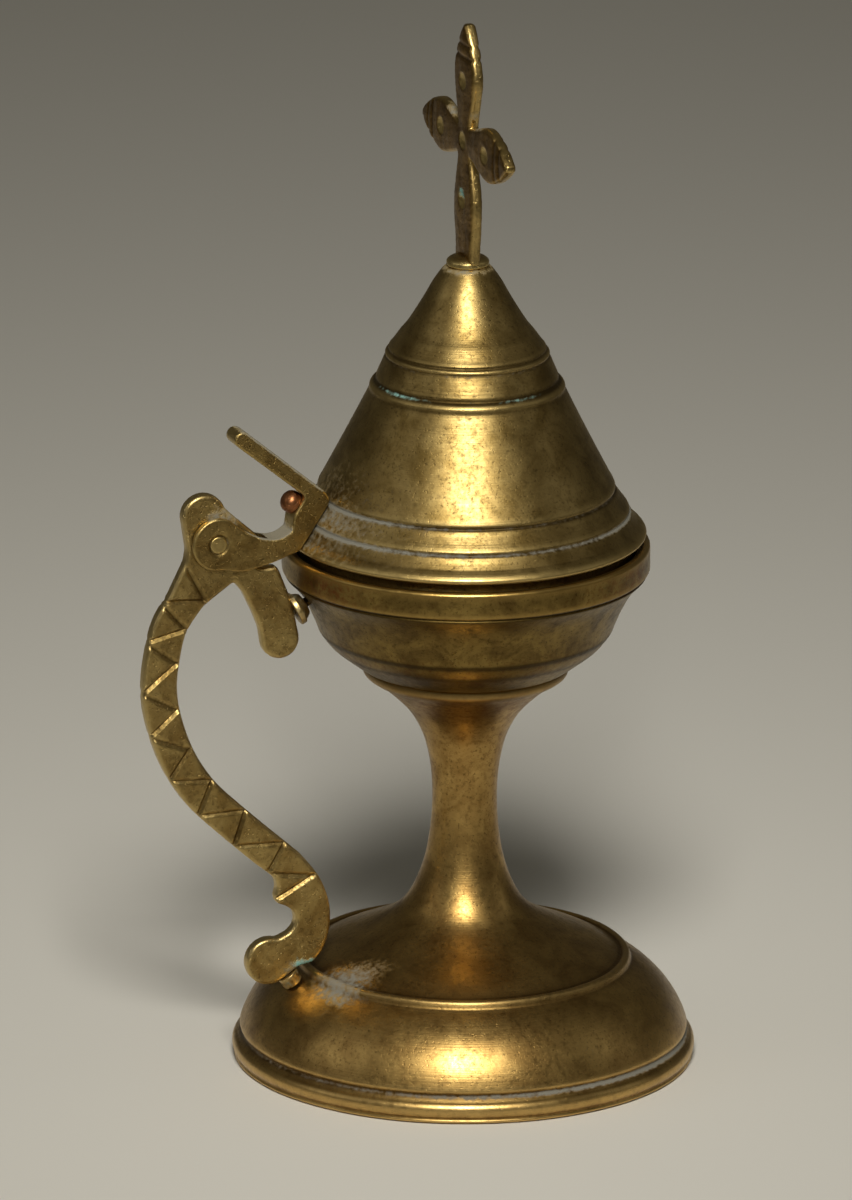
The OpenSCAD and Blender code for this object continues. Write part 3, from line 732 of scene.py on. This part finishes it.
def paint_leaf(p, solid, marks):
    """Grey dust along the hollow of the upper edge and on the lever's top, painted shade as a dark
    ring where the pin meets the cheek and beside the rivet's head, and bright flecks in the pits
    beside the pin."""
    flat = solid[:, :2]
    rim = marks["edge"]
    inner = np.abs(solid[:, 2]) < LEAF_THICK / 2 - 0.3
    top = inner * (rim > 0.2)
    hollow = blob(flat, (-41.0, 109.6), (6.5, 1.7)) ** 2
    above = (flat - corner) @ lever_out
    dust = 0.9 * hollow * np.maximum(top, 0.55 * rim)
    dust = dust + 0.5 * top * blob(flat, PIN + (-1.5, 5.8), (3.0, 1.0)) ** 2
    dust = dust + 0.5 * (rim > 0.2) * band(above, 0.0, 0.5) * (flat[:, 1] > 117.5)
    r = np.linalg.norm(flat - PIN, axis=1)
    # Painted shade: a dark ring where the pin meets the cheek, and a patch beside the rivet's head.
    shade = 0.04 + 0.9 * band(r, 1.9, 0.14) + 0.5 * blob(flat, seat + 1.8 * pad_t, (1.2, 1.0))
    flecks = np.clip(ripple(flat, 0.55, 71) - 0.55, 0, 1)
    flecks = flecks * blob(flat, PIN + (3.0, -0.6), (3.4, 3.0))
    return {"dust": dust, "shade": shade * (np.abs(solid[:, 2]) > LEAF_THICK / 2 - 0.6),
            "edge": np.maximum(rim, flecks)}


PIN_RINGS = (1.95, 2.2)
plate("lid_leaf_fork", leaf_outline, LEAF_THICK, 0.5, "lid_assembly", "lid_leaf", upright, 0.45,
      leaf_relief, paint_leaf, holes=[arc(PIN, PIN_R + 0.02, 0, 360, 40)[:-1]],
      creases=[arc(PIN, r, 0, 360, 40) for r in PIN_RINGS], slot_cut=(PIN, SLOT_ROOT, SLOT_HALF))

# %% [markdown]
# ### The cross
# A small cast cross with leaf-shaped arms stands across the handle's plane. Its
# edges are worn almost round. There is a dimple at the middle and on each arm, and two
# chisel cuts cross each free arm near its tip.

# %% Cross outline and dimples
CROSS_MIDDLE, CROSS_THICK = 184.1, 2.9
DIMPLE_AWAY, DIMPLE_R, DIMPLE_DEEP = 11.8, 1.9, 0.55
arm = catmull([(2.95, 2.95), (4.4, 3.25), (8.6, 4.55), (12.9, 5.3), (17.6, 4.0), (21.2, 2.0),
               (23, 0.5)], 4)
low_side = catmull([(4.4, 3.25), (8.6, 4.5), (12.9, 5.2), (17.6, 4.75), (20.5, 4.4),
                    (24.0, 4.3)], 4)


def spun(points, degrees):
    """Points turned anticlockwise about the origin."""
    c, s = math.cos(math.radians(degrees)), math.sin(math.radians(degrees))
    return points @ np.array([[c, s], [-s, c]])


mirrored = arm[::-1] * (1, -1)
whole_arm = np.vstack([mirrored[::-1][1:], arm[::-1][:-1]])
foot_arm = np.vstack([low_side * (1, -1), low_side[::-1]])
cross_outline = np.vstack([spun(whole_arm, a) for a in (0, 90, 180)] + [spun(foot_arm, 270)])
cross_outline = soften(cross_outline + (0, CROSS_MIDDLE), 0.5, 4)
DIMPLES = np.array([(0, 0), (1, 0), (0, 1), (-1, 0), (0, -1)]) * DIMPLE_AWAY + (0, CROSS_MIDDLE)
dimple_rings = [arc(c, r, 0, 360, n) for c in DIMPLES
                for r, n in ((DIMPLE_R, 24), (1.3, 16), (0.65, 9))]


def dimple(points):
    """How deep the nearest dimple is: a dish, D (1 - (r / R)^2) deep at r from its middle."""
    r = np.sqrt(((points[:, None] - DIMPLES) ** 2).sum(-1)).min(1)
    return DIMPLE_DEEP * np.clip(1 - (r / DIMPLE_R) ** 2, 0, 1)


def tip_cuts(points):
    """Two short chisel cuts across each free arm near its tip, 0.25 mm deep."""
    q = np.abs(points - (0, CROSS_MIDDLE))
    out = q.max(1) * (points[:, 1] > CROSS_MIDDLE - 12)
    return 0.25 * (band(out, 16.6, 0.3) + band(out, 19.0, 0.3))


def cross_relief(points, side_of, d):
    """Dimples, tip cuts, and a lumpy face that crowns gently to its middle line."""
    crown = 0.28 * np.clip(1 - d / 4, 0, 1) ** 2
    lumps = 0.09 * ripple(points, 5, 51 + side_of) + 0.05 * ripple(points, 2, 55 + side_of)
    return dimple(points) + tip_cuts(points) + crown + 0.1 + lumps * np.clip(d / 0.6, 0, 1)


def paint_cross(p, solid, marks):
    """Painted highlight in the dimples, a green crumb over the lower one, grey dust on the side
    arms' ledges, and painted shade in the tip cuts.
    """
    flat = solid[:, :2]
    face = np.abs(solid[:, 2]) > CROSS_THICK / 2 - 0.9
    green = 0.6 * blob(p, (-1.2, 0.3, 173.6), (0.8, 1.0, 0.8))
    ledge = (marks["edge"] > 0.3) * band(p[:, 2], 189.0, 1.2) * band(np.abs(p[:, 1]), 6.5, 2.2)
    # Painted highlight: the dimples are lightened to the edge colour.
    painted_dimple_highlight = np.clip(dimple(flat) / 0.15, 0, 1) * face
    # Painted shade in the tip cuts, over a slight dulling of the faces.
    shade = (0.1 + 0.5 * (tip_cuts(flat) > 0.12)) * (marks["edge"] < 0.2) * (dimple(flat) < 0.1)
    return {"green": green, "dust": 0.6 * ledge, "shade": shade,
            "edge": np.maximum(0.6 * marks["edge"], painted_dimple_highlight)}


plate("cast_cross", cross_outline, CROSS_THICK, 0.7, "lid_assembly", "cross", sideways, 0.42,
      cross_relief, paint_cross, creases=dimple_rings)
collar_outline = [(0, 159.22), (3.9, 159.22), (4.15, 159.5), (4.1, 160.3), (3.7, 160.7),
                  (3.2, 161.0), (2.2, 161.4), (0, 161.4)]

# %% [markdown]
# ## Fixings
# Studs, washers, the rivet, the pin and the bowl's screw are small turned pieces. The
# same spinning function makes them, stood on the point and direction each one has.

# %% Small turned pieces
def stood(point, direction):
    """Turns points made along +Z so that they run along direction from point, both in XZ."""
    s, c = direction

    def move(p):
        x, y, z = p[..., 0], p[..., 1], p[..., 2]
        return np.stack([x * c + z * s + point[0], y, -x * s + z * c + point[1]], -1)
    return move


def across_pin(p):
    """Lays points made along +Z along -Y, with their middle on the pin's axis."""
    return np.stack([p[..., 0] + PIN[0], -p[..., 2], p[..., 1] + PIN[1]], -1)


def ring(inner, outer, low, high):
    """Outline of a flat washer."""
    return [(inner, low), (outer, low), (outer, high), (inner, high)]


def speckled(p, marks):
    """A few pale green specks that the noise picks out, over a little dust."""
    return {"green": np.full(p.shape[:2], 0.1), "dust": np.full(p.shape[:2], 0.12)}


def dulled(p, marks):
    """Nearly as bright as the brass round it."""
    return {"shade": np.full(p.shape[:2], 0.15)}


SMALL = dict(segments=56, rounding=0.22, step=0.6)
STUD_R, RIVET_R, SCREW_R, LOOSE = 0.9, 1.2, 2.0, 0.03
upper, lower = stood(UPPER_STUD, UPPER_OUT), stood(LOWER_STUD, LOWER_OUT)
on_pad = stood(seat - PAD_THICK * pad_n, pad_n)


def fixing(name, outline, body, node, paint=None, place=None):
    """A small turned piece that takes the place of one CAD node."""
    turned(name, outline, body, [node], node, paint, place=place, **SMALL)


turned("cross_collar", collar_outline, "lid_assembly", [], "cross", dulled, **SMALL)
fixing("upper_stud_turned",
       [(0, -4.1), (1.3, -4.1), (1.9, -3.3), (STUD_R, -3.2), (STUD_R, 0.6), (2.2, 0.9), (2.9, 2.1),
        (3.3, 2.25), (3.3, 3.35), (STUD_R, 3.4), (STUD_R, 7.6), (0, 7.6)],
       "burner", "upper_stud", speckled, upper)
fixing("upper_stud_washer_disc", ring(STUD_R + LOOSE, 2.8, -3.15, -2.35), "burner",
       "upper_stud_washer", place=upper)
fixing("lower_stud_turned",
       [(0, -4.4), (1.3, -4.4), (1.9, -3.5), (STUD_R, -3.45), (STUD_R, 0.3), (2.1, 0.4),
        (2.1, 2.7), (STUD_R, 2.75), (STUD_R, 6.4), (0, 6.4)],
       "burner", "lower_stud", speckled, lower)
fixing("lower_stud_washer_disc", ring(STUD_R + LOOSE, 3.4, -3.4, -2.6), "burner",
       "lower_stud_washer", place=lower)
rivet_dome = arc((0, 0), 1, 0, 84, 8) * (2.2, 1.8) + (0, PAD_THICK + 1.2)
fixing("leaf_rivet_copper",
       np.vstack([[(0, -4.5), (1.4, -4.5), (1.9, -3.7), (RIVET_R, -3.6), (RIVET_R, PAD_THICK),
                   (2.1, PAD_THICK + 0.03), (2.2, PAD_THICK + 0.25)], rivet_dome,
                  [(0, PAD_THICK + 3.03)]]),
       "lid_assembly", "leaf_rivet", place=on_pad)
fixing("rivet_washer_disc", ring(RIVET_R + LOOSE, 3.0, -3.6, -2.9), "lid_assembly",
       "rivet_washer", place=on_pad)
fixing("hinge_pin_turned",
       [(0, -2.74), (1.5, -2.73), (PIN_R, -2.6), (PIN_R, 2.6), (1.5, 2.73), (0, 2.74)],
       "lid_assembly", "hinge_pin", dulled, across_pin)
fixing("cross_washer_disc", ring(1.53, 2.7, 156.55, 157.45), "lid_assembly", "cross_washer")
fixing("bowl_washer_disc", ring(SCREW_R + LOOSE, 5.4, 82.13, 82.93), "burner", "bowl_washer")
screw_dome = arc((0, 82.95), 3.4, 12, 80, 6) * (1, 0.6) + (0, 82.95 * 0.4)
fixing("bowl_screw_turned",
       np.vstack([[(0, 66.6), (1.6, 66.6), (SCREW_R, 67.2), (SCREW_R, 82.9), (3.4, 82.95),
                   (3.5, 83.3)], screw_dome, [(0, 84.9)]]),
       "burner", "bowl_screw")

# %% [markdown]
# ## Finishes
# Colours are given as sRGB hex values and turned to linear light by one function.

# %% Colour and nodes
def linear(hex_colour):
    """sRGB hex to linear: c / 12.92 below 0.04045, else ((c + 0.055) / 1.055) ^ 2.4."""
    c = np.array([int(hex_colour[i:i + 2], 16) for i in (1, 3, 5)]) / 255
    out = np.where(c <= 0.04045, c / 12.92, ((c + 0.055) / 1.055) ** 2.4)
    return (*out.tolist(), 1.0)


def add(tree, kind, settings=None, **links):
    """Adds one node of a kind, with its settings, and links or sets its inputs. An input is
    named by its label with _ for a space, or by i and its number; a value is a socket or a
    plain value."""
    node = tree.nodes.new("ShaderNode" + kind)
    for key, value in (settings or {}).items():
        setattr(node, key, value)
    for key, value in links.items():
        spot = int(key[1:]) if key[0] == "i" and key[1:].isdigit() else key.replace("_", " ")
        socket = node.inputs[spot]
        if isinstance(value, bpy.types.NodeSocket):
            tree.links.new(value, socket)
        else:
            socket.default_value = value
    return node


# %% [markdown]
# ### Old brass
# Brass is copper and zinc. Bare it is a warm yellow metal, and it dulls to an olive
# brown as it ages. The tarnish lies in blotches a few millimetres wide, fine pits
# break up the gleam, edges are rubbed bright, and dust and green copper salts are
# not metal at all, so they take the metallic value down where they lie.

# %% Brass builder
SOOT, DUST, VERDIGRIS = "#241F18", "#7E7C72", "#7FAAA2"


def old_brass(name, bright, dull, dark, gloss=(0.3, 0.46), blotch_mm=7.0, pit_mm=0.5,
              pit_depth=0.04, lathe_lines=0.0, copper="#A8582A", edge="#F0CF7A"):
    """One brass finish. Colour runs from dull to bright by blotches, to dark in pits and creases
    and as painted shade where the shade mark lies, and to edge on worn edges and on the cross's
    painted dimple highlight, then copper tint, dust, green and soot go over it."""
    material = bpy.data.materials.new(name)
    material.use_nodes = True
    tree = material.node_tree
    tree.nodes.clear()
    place = add(tree, "TexCoord").outputs["Object"]
    mark = {k: add(tree, "Attribute", {"attribute_name": k}).outputs["Fac"]
            for k in ("edge", "crease", "dust", "green", "copper", "shade", "soot", "along")}
    blotch = add(tree, "TexNoise", Vector=place, Scale=1 / (blotch_mm * MM), Detail=6.0,
                 Roughness=0.62, Distortion=0.6).outputs["Fac"]
    fine = add(tree, "TexNoise", Vector=place, Scale=1 / (1.1 * MM), Detail=4.0,
               Roughness=0.65).outputs["Fac"]
    pits = add(tree, "TexNoise", Vector=place, Scale=1 / (pit_mm * MM), Detail=2.0,
               Roughness=0.5).outputs["Fac"]

    def times(a, b):
        return add(tree, "Math", {"operation": "MULTIPLY"}, i0=a, i1=b).outputs[0]

    def plus(a, b):
        return add(tree, "Math", {"operation": "ADD", "use_clamp": True}, i0=a, i1=b).outputs[0]

    def over(share, below, above):
        return add(tree, "Mix", {"data_type": "RGBA"}, i0=share, i6=below, i7=above).outputs[2]

    def ramp(value, low, high, out_low=0.0, out_high=1.0):
        return add(tree, "MapRange", i0=value, i1=low, i2=high, i3=out_low, i4=out_high).outputs[0]

    def broken(amount):
        """A painted mark broken up by noise: it shows where mark plus noise is high."""
        total = add(tree, "Math", {"operation": "ADD"}, i0=amount, i1=fine).outputs[0]
        return times(ramp(total, 0.62, 0.99), ramp(amount, 0.0, 0.25))

    pit = ramp(pits, 0.6, 0.72)
    colour = over(ramp(blotch, 0.36, 0.64), linear(dull), linear(bright))
    colour = over(ramp(fine, 0.5, 0.78, out_high=0.6), colour, linear(dark))
    colour = over(times(pit, 0.55), colour, linear(dark))
    colour = over(broken(mark["copper"]), colour, linear(copper))
    # The edge mark is worn edges, and on the cross also the painted highlight in its dimples.
    colour = over(times(mark["edge"], 0.75), colour, linear(edge))
    # The shade mark is painted shade in creases, under ledges and between parts, plus a slight
    # dulling of small fittings; with the creases' tarnish it darkens and roughens the brass.
    gloom = plus(times(mark["crease"], 0.85), mark["shade"])
    colour = over(times(gloom, 0.85), colour, linear(dark))
    colour = over(mark["soot"], colour, linear(SOOT))
    dust, green = broken(mark["dust"]), broken(mark["green"])
    colour = over(times(dust, 0.85), colour, linear(DUST))
    colour = over(green, colour, linear(VERDIGRIS))
    covered = plus(plus(dust, green), times(mark["soot"], 0.9))
    metal = ramp(covered, 0.0, 1.0, 1.0, 0.12)
    rough = plus(ramp(fine, 0.3, 0.7, *gloss), times(gloom, 0.12))
    rough = add(tree, "Mix", {"data_type": "FLOAT"}, i0=covered, i2=rough, i3=0.85).outputs[0]
    level = plus(times(fine, 0.5), times(pit, -0.6))
    level = add(tree, "Math", {"operation": "ADD"}, i0=level, i1=times(covered, 0.8)).outputs[0]
    if lathe_lines:
        split = add(tree, "SeparateXYZ", Vector=place).outputs
        line = add(tree, "CombineXYZ", X=times(mark["along"], 1 / (0.35 * MM)),
                   Y=times(split["X"], 25.0), Z=times(split["Y"], 25.0)).outputs[0]
        lines = add(tree, "TexNoise", Vector=line, Scale=1.0, Detail=3.0,
                    Roughness=0.6).outputs["Fac"]
        level = add(tree, "Math", {"operation": "MULTIPLY_ADD"}, i0=lines, i1=lathe_lines,
                    i2=level).outputs[0]
    bump = add(tree, "Bump", Height=level, Strength=1.0, Distance=pit_depth * MM).outputs[0]
    shader = add(tree, "BsdfPrincipled", Base_Color=colour, Metallic=metal, Roughness=rough,
                 Normal=bump)
    add(tree, "OutputMaterial", Surface=shader.outputs[0])
    return material


# %% The finishes
LATHE = dict(lathe_lines=0.8, pit_depth=0.03)
CAST = dict(pit_depth=0.16)
# Turned brass under an even tarnish: warm, with a long soft gleam round the bell.
turned_brass = old_brass("turned_brass_tarnished", "#C09E5E", "#967642", "#463216",
                         gloss=(0.28, 0.42), copper="#8A5A2E", edge="#D6B472", **LATHE)
# The same metal browned by years of charcoal and darkened further as painted shade for its
# downward-facing body, so the bowl is the darkest of the three.
bowl_brass = old_brass("turned_brass_heat_browned_painted_shade", "#9E8448", "#6A552C", "#2A1F0C",
                       gloss=(0.28, 0.42), copper="#8A4E26", edge="#BE9C58", **LATHE)
# Brass handled less than it is smoked: greener and a little duller, with fine lathe lines.
lid_brass = old_brass("turned_brass_lid", "#A38B56", "#7C6638", "#3A2C15", gloss=(0.34, 0.48),
                      lathe_lines=0.9, pit_depth=0.035, edge="#CDB273")
# Sand-cast brass rubbed by fingers: a grainy face with bright edges.
handle_brass = old_brass("sand_cast_brass_rubbed", "#AC945C", "#8A7140", "#3F3018",
                         gloss=(0.3, 0.44), blotch_mm=5, edge="#D6BE84", **CAST)
# The same casting left dull: the leaf reads darker than the handle behind it.
leaf_brass = old_brass("sand_cast_brass_dull", "#A08852", "#7E6638", "#382B12", blotch_mm=4,
                       edge="#CDB474", **CAST)
# Browned cast brass: dark faces, so the polished edges and the painted highlight in the dimples of
# the cross stand out.
cross_brass = old_brass("cast_brass_browned", "#A8854A", "#7A5C2C", "#30220D",
                        gloss=(0.26, 0.42), pit_mm=0.6, pit_depth=0.1, blotch_mm=4,
                        edge="#E0C884")
# Copper is redder than any brass, so the hammered rivet shows as a warm dot.
rivet_copper = old_brass("hammered_copper_rivet", "#8E5A38", "#6B4227", "#2F190C",
                         gloss=(0.36, 0.5), pit_depth=0.12, blotch_mm=2, edge="#9E6C48")
# Plain turned brass for studs, screw and washers: small, tan and matt.
fitting_brass = old_brass("turned_brass_fittings", "#A58C58", "#7E673C", "#352815", blotch_mm=3,
                          edge="#BFA671")

finish_of = {"bell_foot": turned_brass, "charcoal_bowl": bowl_brass, "cone_lid": lid_brass,
             "cast_handle": handle_brass, "lid_leaf_fork": leaf_brass, "cast_cross": cross_brass,
             "cross_collar": cross_brass, "leaf_rivet_copper": rivet_copper,
             "hinge_pin_turned": leaf_brass}
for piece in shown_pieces():
    piece.data.materials.append(finish_of.get(piece.name, fitting_brass))
    print(piece.name, "->", piece.data.materials[0].name)

# %% [markdown]
# ## Floor and light
# A plain pale floor. One soft box stands over the camera, which puts an upright gleam
# down the middle of the cone and the stem. Two faint boxes open up the sides.

# %% Floor
HALF_FLOOR = 3.0
floor_mesh = bpy.data.meshes.new("floor")
corners = np.array([(-1, -1, 0), (1, -1, 0), (1, 1, 0), (-1, 1, 0)]) * HALF_FLOOR
floor_mesh.from_pydata(corners, [], [(0, 1, 2, 3)])
floor = bpy.data.objects.new("floor", floor_mesh)
bpy.context.scene.collection.objects.link(floor)
floor_paint = bpy.data.materials.new("pale_matt_board")
floor_paint.use_nodes = True
board = floor_paint.node_tree.nodes["Principled BSDF"]
board.inputs["Base Color"].default_value = linear("#D9D6CE")
board.inputs["Roughness"].default_value = 0.9
floor_mesh.materials.append(floor_paint)

# %% Lights
def soft_box(name, turn, up, away, size, watts, spread, colour="#FFFFFF"):
    """An area light aimed at the burner's middle, from an angle round it and above it. A small
    spread keeps its light on the burner, as a grid in front of a real soft box does."""
    a, e = math.radians(turn), math.radians(up)
    from_here = Vector((math.sin(a) * math.cos(e), -math.cos(a) * math.cos(e), math.sin(e)))
    light = bpy.data.lights.new(name, "AREA")
    light.shape, light.size, light.size_y = "RECTANGLE", size[0], size[1]
    light.energy, light.color = watts, linear(colour)[:3]
    light.spread = math.radians(spread)
    lamp = bpy.data.objects.new(name, light)
    bpy.context.scene.collection.objects.link(lamp)
    lamp.location = MIDDLE + from_here * away
    lamp.rotation_euler = from_here.to_track_quat("Z", "Y").to_euler()


soft_box("key", turn=-20, up=42, away=1.3, size=(0.34, 0.34), watts=1.4, spread=50,
         colour="#FFFCF4")
soft_box("left", turn=-95, up=30, away=1.6, size=(0.8, 1.0), watts=0.22, spread=70)
soft_box("right", turn=70, up=25, away=1.6, size=(0.6, 1.0), watts=0.08, spread=70)
world = bpy.data.worlds.new("studio")
bpy.context.scene.world = world
world.use_nodes = True
room = world.node_tree.nodes["Background"]
room.inputs["Color"].default_value = linear("#B9B39E")
room.inputs["Strength"].default_value = 0.12
bpy.context.scene.view_settings.view_transform = "Standard"
